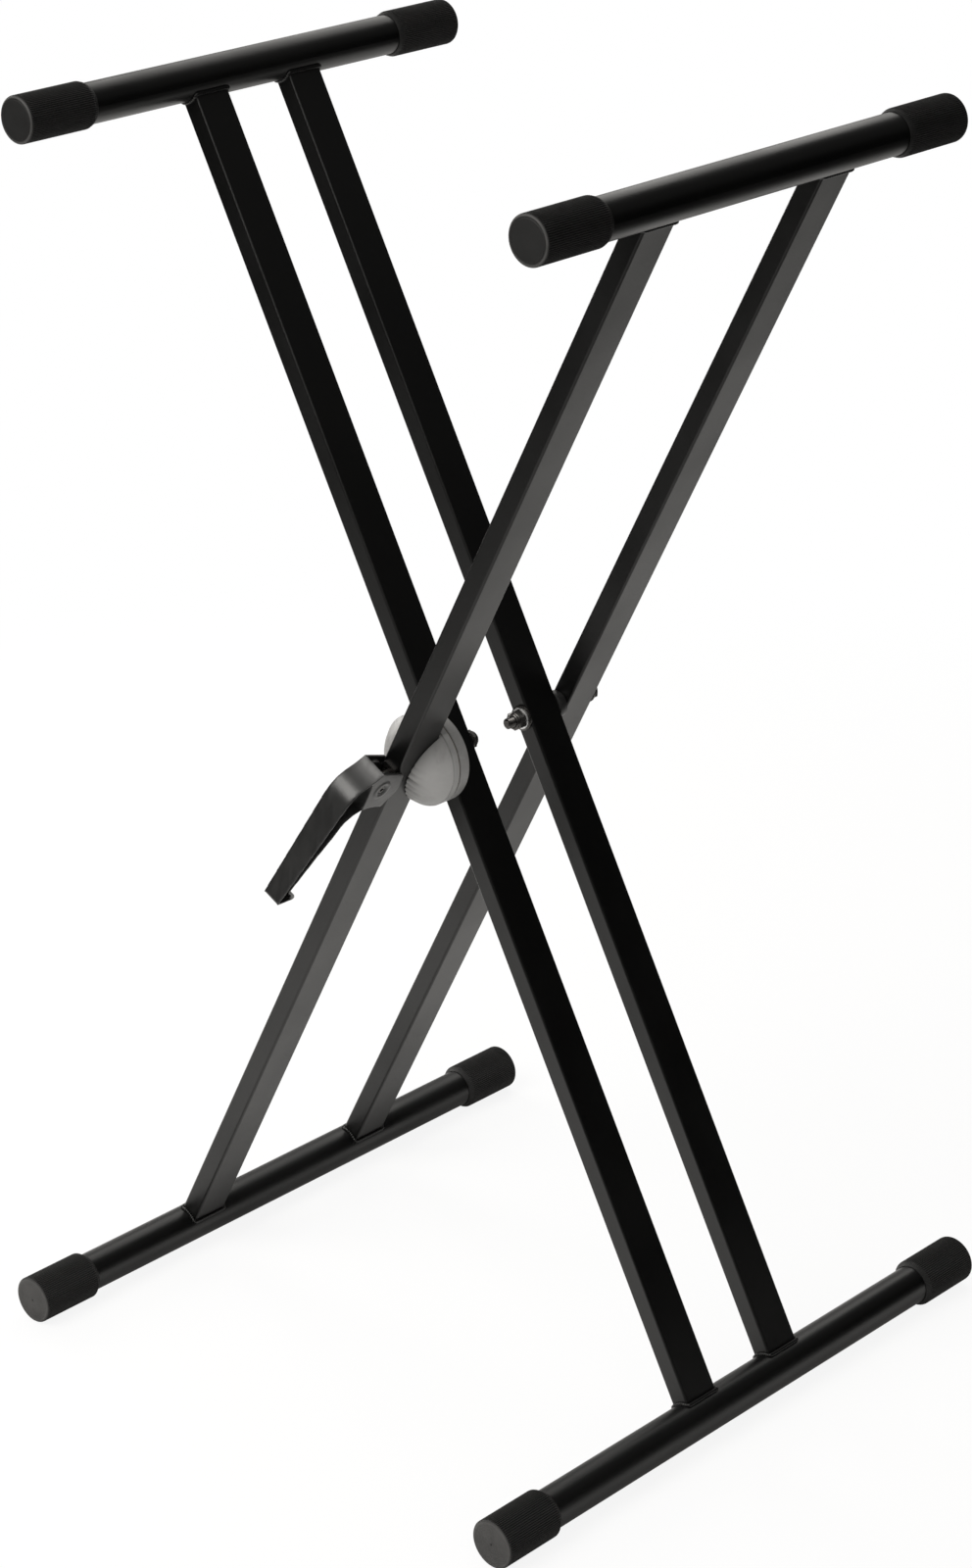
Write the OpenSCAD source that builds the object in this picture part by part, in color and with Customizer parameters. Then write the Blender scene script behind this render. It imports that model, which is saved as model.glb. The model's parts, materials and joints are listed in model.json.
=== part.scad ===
// Double-braced folding X stand for a keyboard instrument, in millimetres.
// The bars run along Y, the frames cross in the XZ plane and the feet stand on z = 0.
// Inner frame: top bar at -X, foot bar at +X. Outer frame: top bar at +X, foot bar at -X.
// Front is -Y, the side with the clutch and its lever.

/* [Frames] */
// Half the angle between the crossed legs, in degrees
half_angle = 27.9; // [20:0.1:40]
// Distance from the pivot axis to the axis of a top bar
upper_reach = 496; // [350:1:650]
// Distance from the pivot axis to the axis of a foot bar
lower_reach = 498.5; // [350:0.5:650]
// Length of a top bar over its two caps
top_span = 408; // [340:1:600]
// Length of a foot bar over its two caps
foot_span = 505; // [380:1:700]
// Distance of each outer leg's middle from the middle of the stand
outer_leg_y = 86.2; // [80:0.1:110]
// Gap between the two legs of the rear pivot
rear_gap = 6.6; // [3:0.1:12]

/* [Tubes] */
// Outside diameter of the round bars
bar_d = 28.6; // [24:0.1:34]
// Wall of the round bars
bar_wall = 1.5; // [1:0.1:3]
// Width of a leg tube along the pivot axis
leg_w = 30; // [26:0.5:36]
// Thickness of a leg tube in the plane of its frame
leg_t = 15.5; // [14:0.5:18]
// Wall of the leg tubes
leg_wall = 1.5; // [1:0.1:2]
// Outside corner radius of the leg tubes
leg_corner = 1.8; // [1.6:0.1:3]
// How far a weld bead spreads over the leg
weld_leg = 2.4; // [1.5:0.1:4]
// How far a weld bead stands off the bar
weld_throat = 2.6; // [1.5:0.1:4]

/* [Caps] */
// Length of a top cap
top_cap_len = 60; // [40:1:80]
// Length of a foot cap
foot_cap_len = 53; // [40:1:80]
// Thickness of a cap's closed end
cap_end = 3; // [2:0.5:6]
// Wall of a top cap from the bar to the crest of its ribs
top_cap_wall = 2.3; // [2:0.1:5]
// Wall of a foot cap from the bar to the crest of its ribs
foot_cap_wall = 3.3; // [2:0.1:5]
// Number of ribs around a cap
rib_count = 72; // [36:4:96]
// Height of the ribs
rib_h = 0.6; // [0.3:0.1:1]
// Bevel around the closed end
cap_bevel = 1.4; // [0.5:0.1:2]
// Length of the plain collar at the closed end
cap_collar = 2; // [1.5:0.1:5]
// Length of the tapered lip at the mouth
cap_lip = 3.5; // [2:0.5:8]
// Wall of the lip at the mouth
lip_wall = 0.8; // [0.5:0.1:1.2]

/* [Clutch] */
// Diameter of the clutch housings
clutch_d = 66.5; // [56:0.5:80]
// Thickness of the outer housing between its leg and the lining
near_t = 7; // [6:0.2:12]
// Thickness of the inner housing
far_t = 9; // [6:0.2:14]
// Thickness of the friction lining
lining_t = 1.2; // [0.8:0.1:3]
// Inside diameter of the friction lining
lining_bore = 40; // [30:1:50]
// Width of the step around the lining
lining_step = 1; // [0.5:0.1:3]
// How far the lobes of the outer housing stand past the leg's inner face
dome_h = 18; // [8:0.5:22]
// Straight rim of the outer housing under its dome
dome_rim = 1.5; // [0.5:0.1:4]
// Clearance on each side of the leg in the housing's channel
channel_clearance = 0.15; // [0.05:0.05:0.5]
// Diameter of the pegs that key the inner housing to its leg
peg_d = 6; // [4:0.5:8]
// Depth of the pegs inside the leg
peg_len = 5; // [3:0.5:8]
// Distance of each peg from the pivot axis
peg_reach = 20; // [15:0.5:25]
// Outside diameter of the disc springs
disc_spring_d = 22; // [18:0.5:26]
// Inside diameter of the disc springs
disc_spring_bore = 8.6; // [8.5:0.1:10]
// Thickness of one disc spring
disc_spring_t = 1; // [0.6:0.1:1.4]
// Height of one disc spring's cone when it is clamped
disc_spring_cone = 0.6; // [0.4:0.1:0.8]

/* [Lever] */
// Diameter of the lever's pin
pin_d = 6; // [5:0.5:7]
// Width of the lever at its head
lever_head_w = 21; // [20.4:0.2:26]
// Width of the lever at its tip
lever_tip_w = 14.8; // [12:0.2:20]
// Wall of the lever's two ears
cheek_t = 2.2; // [1.5:0.1:2.4]
// Wall of the lever's back
web_t = 2.4; // [1.5:0.1:4]
// Radius of the lever's ears around the pin
ear_r = 19.5; // [18:0.1:22]
// Radius of the cam where it clamps
cam_r = 13; // [11:0.1:14]
// Travel of the draw bolt as the lever opens
cam_lift = 1; // [0.4:0.1:1.5]
// Angle through which the lever opens, in degrees
lever_travel = 60; // [40:5:60]
// Distance from the pin down to the lever's tip
lever_len = 93.5; // [80:0.5:130]
// Slope of the handle away from the leg, in degrees
handle_slope = 16.1; // [8:0.1:20]
// Distance from the pin out to the shoulder of the handle
shoulder_out = 33.3; // [30:0.1:40]
// Depth of the handle below its shoulder
handle_depth = 12; // [8:0.2:14]
// Depth of the handle above its finger hook
neck_depth = 5; // [4:0.2:8]
// Depth of the finger hook at the tip
hook_depth = 16.2; // [10:0.2:20]
// Width of the hook's lip
hook_lip = 3; // [2:0.2:4]
// Wall around the pockets in the handle's sides
pocket_wall = 1.5; // [1:0.1:2.4]
// Thickness of the spine between the pockets
spine_t = 4; // [2:0.5:8]
// Thickness of the steel plate that the cam presses on
thrust_t = 2; // [1:0.1:3]
// Width of the thrust plate along the leg
thrust_len = 18; // [16:0.5:20]

/* [Fasteners] */
// Diameter of the pivot bolts
bolt_d = 8; // [6:0.5:8]
// Outside diameter of the crush sleeves in the legs
sleeve_d = 12; // [11:0.5:13]
// Radial running clearance of bolts and pins in what turns on them
run_clearance = 0.06; // [0.02:0.01:0.1]
// Size across the flats of the nuts and the bolt head
hex_af = 13; // [11:0.5:15]
// Height of the hexagon of the front nut
front_nut_h = 3.6; // [3:0.2:8]
// Height of the front nut's dome
front_dome_h = 4.9; // [2:0.1:6]
// Diameter of the washers under the front nut and the bolt head
washer_d = 16; // [15:0.5:20]
// Thickness of those washers
washer_t = 1.6; // [1:0.1:2.5]
// Height of the rear bolt's head
head_h = 5.3; // [3:0.1:8]
// Diameter of the black washer behind the rear nut
wide_washer_d = 18.5; // [17:0.5:24]
// Thickness of the black washer
wide_washer_t = 1.8; // [1:0.1:3]
// Diameter of the bright washer under the rear nut
bright_washer_d = 15.4; // [15:0.1:17]
// Thickness of the bright washer
bright_washer_t = 1.2; // [0.8:0.1:2]
// Height of the rear lock nut
lock_nut_h = 8; // [5:0.5:10]
// Length of thread past the rear lock nut
thread_tail = 6; // [2:0.5:12]
// Diameter of the spacer between the rear legs
spacer_d = 20; // [16:0.5:26]

/* [Hidden] */
$fn = 96;
// Overlap that keeps cuts clear of the faces that they open
cut = 1;
bar_r = bar_d / 2;
top_cap_r = bar_r + top_cap_wall;
foot_cap_r = bar_r + foot_cap_wall;
// How far the plain collar lies below the grooves between the ribs
collar_drop = 0.1;
pivot_z = foot_cap_r + lower_reach * cos(half_angle);
leg_half = leg_w / 2;
clutch_t = near_t + lining_t + far_t;
outer_face_y = -outer_leg_y - leg_half;
near_face_y = -outer_leg_y + leg_half;
near_lining_y = near_face_y + near_t;
far_lining_y = near_lining_y + lining_t;
inner_front_face_y = near_face_y + clutch_t;
inner_front_y = inner_front_face_y + leg_half;
inner_front_back_y = inner_front_y + leg_half;
rear_outer_face_y = outer_leg_y - leg_half;
inner_rear_y = rear_outer_face_y - rear_gap - leg_half;
inner_rear_face_y = inner_rear_y - leg_half;
bolt_r = bolt_d / 2;
bolt_bore_r = bolt_r + run_clearance;
pin_r = pin_d / 2;
// The cam runs just clear of its plate, because a spiral reaches a little past its radius
cam_gap = 0.05;
pin_y = outer_face_y - thrust_t - cam_r - cam_gap;
eye_r = pin_r + 3;
eye_w = 9;
cam_side_gap = 0.2;
head_half = lever_head_w / 2;
tip_half = lever_tip_w / 2;
// The lever keeps its full width from its top down to this height below the pin
taper_start = -8;
disc_stack = 2 * (disc_spring_t + disc_spring_cone);
spring_pocket_r = disc_spring_d / 2 + 0.4;
spring_pocket = disc_stack - lining_t;
// The dome is a spherical cap over the outer housing's rim
dome_base_r = clutch_d / 2 - 0.5;
dome_cap_h = dome_h + dome_rim;
dome_r = (pow(dome_base_r, 2) + pow(dome_cap_h, 2)) / (2 * dome_cap_h);
steel_black = [0.07, 0.07, 0.075];
rubber_black = [0.05, 0.05, 0.05];
zinc = [0.7, 0.7, 0.72];

// Places and directions

module in_inner() {
    translate([0, 0, pivot_z]) rotate([0, -half_angle, 0]) children();
}

module in_outer() {
    translate([0, 0, pivot_z]) rotate([0, half_angle, 0]) children();
}

// side is -1 for a bar at -X and 1 for a bar at +X; reach is negative below the pivot
module at_bar(side, reach) {
    translate([side * abs(reach) * sin(half_angle), 0, pivot_z + reach * cos(half_angle)])
        children();
}

module y_rod(r, y0, y1) {
    translate([0, y0, 0]) rotate([-90, 0, 0]) cylinder(r = r, h = y1 - y0);
}

module y_ring(r_out, r_in, y0, y1) {
    difference() {
        y_rod(r_out, y0, y1);
        y_rod(r_in, y0 - cut, y1 + cut);
    }
}

// A plate cut from the XZ plane
module y_plate(y0, y1) {
    translate([0, y1, 0]) rotate([90, 0, 0]) linear_extrude(y1 - y0) children();
}

// A plate cut from the YZ plane
module x_plate(x0, x1) {
    translate([x0, 0, 0]) rotate([90, 0, 90]) linear_extrude(x1 - x0) children();
}

module rounded_rect(w, h, r) {
    square([w - 2 * r, h], center = true);
    square([w, h - 2 * r], center = true);
    for (sx = [-1, 1], sy = [-1, 1])
        translate([sx * (w / 2 - r), sy * (h / 2 - r)]) circle(r = r, $fn = 32);
}

// Frames

module leg(y, bores = []) {
    translate([0, y, 0]) difference() {
        translate([0, 0, -lower_reach]) linear_extrude(lower_reach + upper_reach) difference() {
            rounded_rect(leg_t, leg_w, leg_corner);
            rounded_rect(leg_t - 2 * leg_wall, leg_w - 2 * leg_wall, leg_corner / 2);
        }
        for (z = [-lower_reach, upper_reach])
            translate([0, 0, z]) y_rod(bar_r, -leg_w, leg_w);
        y_rod(sleeve_d / 2, -leg_w, leg_w);
        for (z = bores) translate([0, 0, z]) y_rod(peg_d / 2, -leg_w, -leg_half + 2 * leg_wall);
    }
}

module bar(span) {
    end_y = span / 2 - cap_end;
    y_ring(bar_r, bar_r - bar_wall, -end_y, end_y);
}

// The bead around one leg's end; turn is 1 at a top bar and -1 at a foot bar
module weld(y, reach, turn) {
    grow = 2 * weld_leg;
    bead_r = bar_r + weld_throat;
    translate([0, y, reach]) difference() {
        intersection() {
            translate([0, 0, turn > 0 ? -bead_r : 0]) linear_extrude(bead_r)
                rounded_rect(leg_t + grow, leg_w + grow, leg_corner + weld_leg);
            y_rod(bead_r, -leg_w, leg_w);
        }
        y_rod(bar_r, -2 * leg_w, 2 * leg_w);
        translate([0, 0, -2 * bead_r]) linear_extrude(4 * bead_r)
            rounded_rect(leg_t, leg_w, leg_corner);
    }
}

// Caps

module rib_outline(crest_r) {
    step = 360 / rib_count;
    polygon([for (i = [0 : rib_count - 1], half = [0, 1])
        let (a = -90 + (i + half / 2) * step, r = crest_r - half * rib_h)
        [r * cos(a), r * sin(a)]]);
}

// A front cap, with its closed end at y = -span / 2
module cap(span, length, crest_r) {
    y0 = -span / 2;
    lip_r = bar_r + lip_wall;
    collar_r = crest_r - rib_h - collar_drop;
    color(rubber_black) difference() {
        union() {
            translate([0, y0, 0]) rotate([-90, 0, 0]) rotate_extrude() polygon([
                [0, 0], [collar_r - cap_bevel, 0], [collar_r, cap_bevel],
                [collar_r, length - cap_lip], [lip_r, length], [0, length]]);
            y_plate(y0 + cap_collar, y0 + length - cap_lip) rib_outline(crest_r);
        }
        y_rod(bar_r, y0 + cap_end, y0 + length + cut);
    }
}

module top_cap(side, rear) {
    at_bar(side, upper_reach) mirror([0, rear, 0]) cap(top_span, top_cap_len, top_cap_r);
}

module foot_cap(side, rear) {
    at_bar(side, -lower_reach) mirror([0, rear, 0]) cap(foot_span, foot_cap_len, foot_cap_r);
}

// Sleeves

module sleeve(y) {
    color(zinc) y_ring(sleeve_d / 2, bolt_bore_r, y - leg_half, y + leg_half);
}

// Hexagons with two flats square to the leg
module hex_block(y0, y1) {
    y_plate(y0, y1) rotate(30) circle(r = hex_af / sqrt(3), $fn = 6);
}

// A round dome on top of a hexagon; it grows from y0 towards the side of turn
module hex_dome(y0, h, turn) {
    base_r = hex_af / 2 - 0.3;
    ball_r = (pow(base_r, 2) + pow(h, 2)) / (2 * h);
    intersection() {
        translate([0, y0 + turn * (h - ball_r), 0]) sphere(r = ball_r);
        y_rod(base_r, min(y0, y0 + turn * h), max(y0, y0 + turn * h));
    }
}

// Inner frame

module leg_inner_front() {
    color(steel_black) in_inner() leg(inner_front_y, [-peg_reach, peg_reach]);
}

module leg_inner_rear() {
    color(steel_black) in_inner() leg(inner_rear_y);
}

module top_bar_inner() {
    color(steel_black) at_bar(-1, upper_reach) bar(top_span);
}

module foot_bar_inner() {
    color(steel_black) at_bar(1, -lower_reach) bar(foot_span);
}

module welds_inner_top() {
    color(steel_black) in_inner() for (y = [inner_front_y, inner_rear_y])
        weld(y, upper_reach, 1);
}

module welds_inner_foot() {
    color(steel_black) in_inner() for (y = [inner_front_y, inner_rear_y])
        weld(y, -lower_reach, -1);
}

module sleeve_inner_front() {
    in_inner() sleeve(inner_front_y);
}

module sleeve_inner_rear() {
    in_inner() sleeve(inner_rear_y);
}

// Outer frame

module leg_outer_front() {
    color(steel_black) in_outer() leg(-outer_leg_y);
}

module leg_outer_rear() {
    color(steel_black) in_outer() leg(outer_leg_y);
}

module top_bar_outer() {
    color(steel_black) at_bar(1, upper_reach) bar(top_span);
}

module foot_bar_outer() {
    color(steel_black) at_bar(-1, -lower_reach) bar(foot_span);
}

module welds_outer_top() {
    color(steel_black) in_outer() for (y = [-outer_leg_y, outer_leg_y])
        weld(y, upper_reach, 1);
}

module welds_outer_foot() {
    color(steel_black) in_outer() for (y = [-outer_leg_y, outer_leg_y])
        weld(y, -lower_reach, -1);
}

module sleeve_outer_front() {
    in_outer() sleeve(-outer_leg_y);
}

module sleeve_outer_rear() {
    in_outer() sleeve(outer_leg_y);
}

// Clutch

// Two lobes hug the outer leg, which sits in a channel between them
module clutch_outer_housing() {
    rim_y = near_face_y + dome_rim;
    top_y = near_face_y - dome_h;
    color([0.72, 0.71, 0.69]) in_outer() difference() {
        union() {
            y_rod(clutch_d / 2, rim_y, near_lining_y);
            intersection() {
                translate([0, top_y + dome_r, 0]) sphere(r = dome_r, $fn = 128);
                y_rod(dome_base_r, top_y, rim_y);
            }
        }
        translate([-leg_t / 2 - channel_clearance, top_y - cut, -clutch_d])
            cube([leg_t + 2 * channel_clearance, dome_h + cut, 2 * clutch_d]);
        y_rod(bolt_bore_r, near_face_y - cut, near_lining_y + cut);
        y_rod(spring_pocket_r, near_lining_y - spring_pocket, near_lining_y + cut);
    }
}

module clutch_inner_housing() {
    color([0.7, 0.69, 0.67]) in_inner() {
        y_ring(clutch_d / 2, bolt_bore_r, far_lining_y, inner_front_face_y);
        for (z = [-peg_reach, peg_reach]) translate([0, 0, z])
            y_rod(peg_d / 2, inner_front_face_y - cut, inner_front_face_y + peg_len);
    }
}

module clutch_lining() {
    color([0.45, 0.42, 0.38]) in_inner()
        y_ring(clutch_d / 2 - lining_step, lining_bore / 2, near_lining_y, far_lining_y);
}

// Two conical springs, rim to rim, that push the housings apart when the lever opens
module clutch_disc_springs() {
    color(zinc) in_outer() for (turn = [0, 1])
        translate([0, turn == 0 ? far_lining_y - disc_stack : far_lining_y, 0])
            mirror([0, turn, 0]) rotate([-90, 0, 0]) rotate_extrude() polygon([
                [disc_spring_bore / 2, 0],
                [disc_spring_bore / 2, disc_spring_t],
                [disc_spring_d / 2, disc_spring_t + disc_spring_cone],
                [disc_spring_d / 2, disc_spring_cone]]);
}

module thrust_plate() {
    color(steel_black) in_outer() difference() {
        y_plate(outer_face_y - thrust_t, outer_face_y)
            rounded_rect(leg_t - 2 * leg_corner, thrust_len, leg_corner);
        y_rod(bolt_bore_r, outer_face_y - thrust_t - cut, outer_face_y + cut);
    }
}

// The eye holds the lever's pin, and the shank runs through the front pivot
module draw_bolt() {
    tip_y = inner_front_back_y + washer_t + front_nut_h;
    color(zinc) in_outer() difference() {
        union() {
            translate([-eye_w / 2, pin_y, 0]) rotate([0, 90, 0]) cylinder(r = eye_r, h = eye_w);
            y_rod(bolt_r, pin_y, tip_y);
        }
        translate([-eye_w, pin_y, 0]) rotate([0, 90, 0])
            cylinder(r = pin_r + run_clearance, h = 2 * eye_w);
    }
}

module front_washer() {
    color(steel_black) in_inner()
        y_ring(washer_d / 2, bolt_bore_r, inner_front_back_y, inner_front_back_y + washer_t);
}

module front_nut() {
    y0 = inner_front_back_y + washer_t;
    color(steel_black) in_outer() difference() {
        union() {
            hex_block(y0, y0 + front_nut_h);
            hex_dome(y0 + front_nut_h, front_dome_h, 1);
        }
        y_rod(bolt_r, y0 - cut, y0 + front_nut_h);
    }
}

// Lever, drawn around its pin: u runs away from the leg and v runs up the leg

function arc(r, a0, a1, n) = [for (i = [0 : n]) let (a = a0 + (a1 - a0) * i / n)
    [r * cos(a), r * sin(a)]];

// Place on the handle's back, at height v below the shoulder, moved in by depth
function back(v, depth = 0) = [-shoulder_out + (v - shoulder_v) * tan(handle_slope) + depth, v];
shoulder_v = -8;
// Top corner of the lever's back
crown = [-5, 17.3];
// Corners that the back bends past on its way from the handle up to the crown
back_corners = [back(2 * shoulder_v), back(shoulder_v), [-29.6, 1.3], [-23.3, 7.9], [-12, 12.2], crown];
// Steps around each of those bends
bend_steps = 6;
ear_top_angle = 24;
ear_low_angle = -50;
// Lower edge of the ears, from the leg's side to the handle
ear_lower_edge = [[9.2, -20], [7.8, -20.5], [1, -17.8], [-5, -16.2], [-13, -15.6], [-19.3, -17.6]];
// The ears end on a straight edge at this distance from the pin, towards the handle
ear_out = 12.5;
ear_wall = 1.5;
// Height of the lever's back over that edge
back_over_ears = 11.6;
// Angles of the cam, from the leg's side towards the top of the lever
cam_start = -40;
cam_end = 110;

// Place on a bend past corner b, from halfway to corner a (t = 0) to halfway to corner c (t = 1)
function bend(a, b, c, t) = pow(1 - t, 2) * (a + b) / 2 + 2 * t * (1 - t) * b + pow(t, 2) * (b + c) / 2;

module lever_outline() {
    polygon(concat(
        [crown],
        arc(ear_r, ear_top_angle, ear_low_angle, 12),
        ear_lower_edge,
        [back(-22.4, handle_depth), back(-30.7, 0.93 * handle_depth), back(-38.5, 0.87 * handle_depth)],
        [back(-0.53 * lever_len, 0.7 * handle_depth), back(-0.865 * lever_len, neck_depth)],
        [back(-0.895 * lever_len, neck_depth + 0.4), back(-0.923 * lever_len, 0.6 * hook_depth)],
        [back(-0.955 * lever_len, 0.85 * hook_depth), back(-0.987 * lever_len, hook_depth)],
        [back(-lever_len - 0.7, hook_depth - 0.8), back(-lever_len)],
        [for (k = [1 : len(back_corners) - 2], i = [0 : bend_steps - 1])
            bend(back_corners[k - 1], back_corners[k], back_corners[k + 1], i / bend_steps)]));
}

// The space between the ears, open towards the leg and at the top
module lever_hollow_outline() {
    polygon([
        crown + [1.2, 10], crown + [0.6, -web_t], [-ear_out + ear_wall, back_over_ears - web_t],
        [-ear_out + ear_wall, -2 * ear_r], [2 * ear_r, -2 * ear_r], [2 * ear_r, 2 * ear_r]]);
}

// The pockets reach from the ears down into the hook, behind its lip
module lever_pocket_outline() {
    round_r = 0.8;
    intersection() {
        offset(r = round_r) offset(delta = -pocket_wall - round_r) lever_outline();
        polygon([
            [-ear_out, 2 * ear_r], [-ear_out, -0.8 * lever_len], back(-0.885 * lever_len, neck_depth),
            back(-lever_len, hook_depth - hook_lip), back(-lever_len - cut), [-2 * lever_len, 0],
            [-2 * lever_len, 2 * ear_r]]);
    }
}

// Seen from the front, the lever narrows towards its tip
module lever_width_outline(inset) {
    polygon([for (p = [
        [-1, -lever_len - cut], [1, -lever_len - cut], [1, taper_start], [1, 2 * ear_r],
        [-1, 2 * ear_r], [-1, taper_start]])
        [p[0] * ((p[1] < taper_start ? tip_half : head_half) - inset), p[1]]]);
}

module cam_outline() {
    circle(r = eye_r + 2);
    polygon(concat([[0, 0]], [for (i = [0 : 30])
        let (a = cam_start + (cam_end - cam_start) * i / 30,
            r = cam_r - cam_lift * max(0, a) / lever_travel)
        [r * cos(a), r * sin(a)]]));
}

module clutch_lever() {
    reach = 2 * lever_len;
    inner_half = head_half - cheek_t;
    color([0.1, 0.1, 0.1]) in_outer() translate([0, pin_y, 0]) difference() {
        union() {
            difference() {
                intersection() {
                    x_plate(-head_half, head_half) lever_outline();
                    y_plate(-reach, reach) lever_width_outline(0);
                }
                intersection() {
                    x_plate(-head_half, head_half) lever_hollow_outline();
                    y_plate(-reach, reach) lever_width_outline(cheek_t);
                }
                for (side = [0, 1]) mirror([side, 0, 0])
                    x_plate(spine_t / 2, head_half + cut) lever_pocket_outline();
            }
            for (side = [0, 1]) mirror([side, 0, 0])
                x_plate(eye_w / 2 + cam_side_gap, inner_half + cheek_t / 2) cam_outline();
        }
        translate([-head_half - cut, 0, 0]) rotate([0, 90, 0])
            cylinder(r = pin_r, h = 2 * (head_half + cut));
    }
}

module lever_pin() {
    recess_r = pin_r / 2;
    recess = 3;
    sunk = 0.2;
    color(steel_black) in_outer() translate([0, pin_y, 0]) rotate([0, 90, 0]) difference() {
        cylinder(r = pin_r, h = lever_head_w - 2 * sunk, center = true);
        for (side = [0, 1]) mirror([0, 0, side])
            translate([0, 0, head_half - sunk - recess]) cylinder(r = recess_r, h = recess + cut);
    }
}

// Rear pivot

rear_head_y = outer_leg_y + leg_half + washer_t;
lock_nut_y = inner_rear_face_y - wide_washer_t - bright_washer_t;

module rear_bolt() {
    color(steel_black) in_outer() {
        hex_block(rear_head_y, rear_head_y + head_h - 1);
        hex_dome(rear_head_y + head_h - 1, 1, 1);
        y_rod(bolt_r, lock_nut_y - lock_nut_h - thread_tail, rear_head_y + cut);
    }
}

module rear_head_washer() {
    color(steel_black) in_outer()
        y_ring(washer_d / 2, bolt_bore_r, rear_head_y - washer_t, rear_head_y);
}

module rear_spacer() {
    color([0.09, 0.09, 0.09]) in_outer()
        y_ring(spacer_d / 2, bolt_bore_r, rear_outer_face_y - rear_gap, rear_outer_face_y);
}

module rear_wide_washer() {
    color(steel_black) in_inner() y_ring(wide_washer_d / 2, bolt_bore_r,
        inner_rear_face_y - wide_washer_t, inner_rear_face_y);
}

module rear_bright_washer() {
    color(zinc) in_inner() y_ring(bright_washer_d / 2, bolt_bore_r,
        lock_nut_y, inner_rear_face_y - wide_washer_t);
}

module rear_lock_nut() {
    collar_h = lock_nut_h / 4;
    color([0.25, 0.23, 0.2]) in_outer() difference() {
        union() {
            hex_block(lock_nut_y - lock_nut_h + collar_h, lock_nut_y);
            y_rod(hex_af / 2 - 0.5, lock_nut_y - lock_nut_h, lock_nut_y - cut);
        }
        y_rod(bolt_r, lock_nut_y - lock_nut_h - cut, lock_nut_y + cut);
    }
}

leg_inner_front();
leg_inner_rear();
leg_outer_front();
leg_outer_rear();
top_bar_inner();
top_bar_outer();
foot_bar_inner();
foot_bar_outer();
welds_inner_top();
welds_inner_foot();
welds_outer_top();
welds_outer_foot();
top_cap(-1, 0);  // cap_top_inner_front
top_cap(-1, 1);  // cap_top_inner_rear
top_cap(1, 0);  // cap_top_outer_front
top_cap(1, 1);  // cap_top_outer_rear
foot_cap(1, 0);  // cap_foot_inner_front
foot_cap(1, 1);  // cap_foot_inner_rear
foot_cap(-1, 0);  // cap_foot_outer_front
foot_cap(-1, 1);  // cap_foot_outer_rear
sleeve_inner_front();
sleeve_inner_rear();
sleeve_outer_front();
sleeve_outer_rear();
clutch_outer_housing();
clutch_inner_housing();
clutch_lining();
clutch_disc_springs();
thrust_plate();
draw_bolt();
front_washer();
front_nut();
clutch_lever();
lever_pin();
rear_bolt();
rear_head_washer();
rear_spacer();
rear_wide_washer();
rear_bright_washer();
rear_lock_nut();
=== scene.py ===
"""Looks of a double-braced folding keyboard stand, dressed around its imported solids."""
import json
import math

import bmesh
import bpy
from mathutils import Matrix, Vector, noise

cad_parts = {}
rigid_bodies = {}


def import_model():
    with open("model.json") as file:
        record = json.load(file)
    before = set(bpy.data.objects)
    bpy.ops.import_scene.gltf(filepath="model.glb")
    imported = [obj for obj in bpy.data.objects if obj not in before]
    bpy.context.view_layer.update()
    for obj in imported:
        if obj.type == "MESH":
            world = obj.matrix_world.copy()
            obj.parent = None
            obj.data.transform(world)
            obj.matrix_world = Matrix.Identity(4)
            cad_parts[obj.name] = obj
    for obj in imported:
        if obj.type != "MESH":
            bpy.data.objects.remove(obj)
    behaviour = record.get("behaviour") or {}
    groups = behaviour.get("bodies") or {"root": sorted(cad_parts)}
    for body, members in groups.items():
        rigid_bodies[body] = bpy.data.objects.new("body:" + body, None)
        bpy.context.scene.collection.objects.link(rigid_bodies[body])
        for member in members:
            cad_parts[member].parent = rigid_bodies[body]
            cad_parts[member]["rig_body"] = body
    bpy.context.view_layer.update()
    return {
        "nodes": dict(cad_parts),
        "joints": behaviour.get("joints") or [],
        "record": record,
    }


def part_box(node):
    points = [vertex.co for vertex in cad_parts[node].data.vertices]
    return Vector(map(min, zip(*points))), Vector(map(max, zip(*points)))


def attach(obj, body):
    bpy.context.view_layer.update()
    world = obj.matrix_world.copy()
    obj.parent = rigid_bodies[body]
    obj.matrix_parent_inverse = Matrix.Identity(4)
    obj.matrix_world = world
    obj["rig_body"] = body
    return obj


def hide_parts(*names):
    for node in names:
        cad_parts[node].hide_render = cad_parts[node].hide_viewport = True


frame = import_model()
nodes = frame["nodes"]
joints = {joint["name"]: joint for joint in frame["joints"]}

MM = 0.001
TURN = 2 * math.pi

# Places taken from the frame

pivot = Vector(joints["frame_fold"]["pos_m"])
lever_axis = Vector(joints["lever_open"]["axis"])
pin_y = joints["lever_open"]["pos_m"][1]
half_angle = math.atan2(lever_axis.z, -lever_axis.x)


def leg_frame(side):
    """Frame of a leg: x across its thin side, z up its length, origin on the pivot axis."""
    return Matrix.Translation(pivot) @ Matrix.Rotation(side * half_angle, 4, "Y")


OUTER = leg_frame(1)
INNER = leg_frame(-1)
INTO_OUTER = OUTER.inverted()


def local_box(node, place):
    """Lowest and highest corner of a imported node, measured along the axes of a frame."""
    into = place.inverted()
    points = [into @ vertex.co for vertex in nodes[node].data.vertices]
    low = Vector([min(point[i] for point in points) for i in range(3)])
    high = Vector([max(point[i] for point in points) for i in range(3)])
    return low, high


def middle(node):
    """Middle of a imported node's box."""
    low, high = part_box(node)
    return (low + high) / 2


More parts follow.
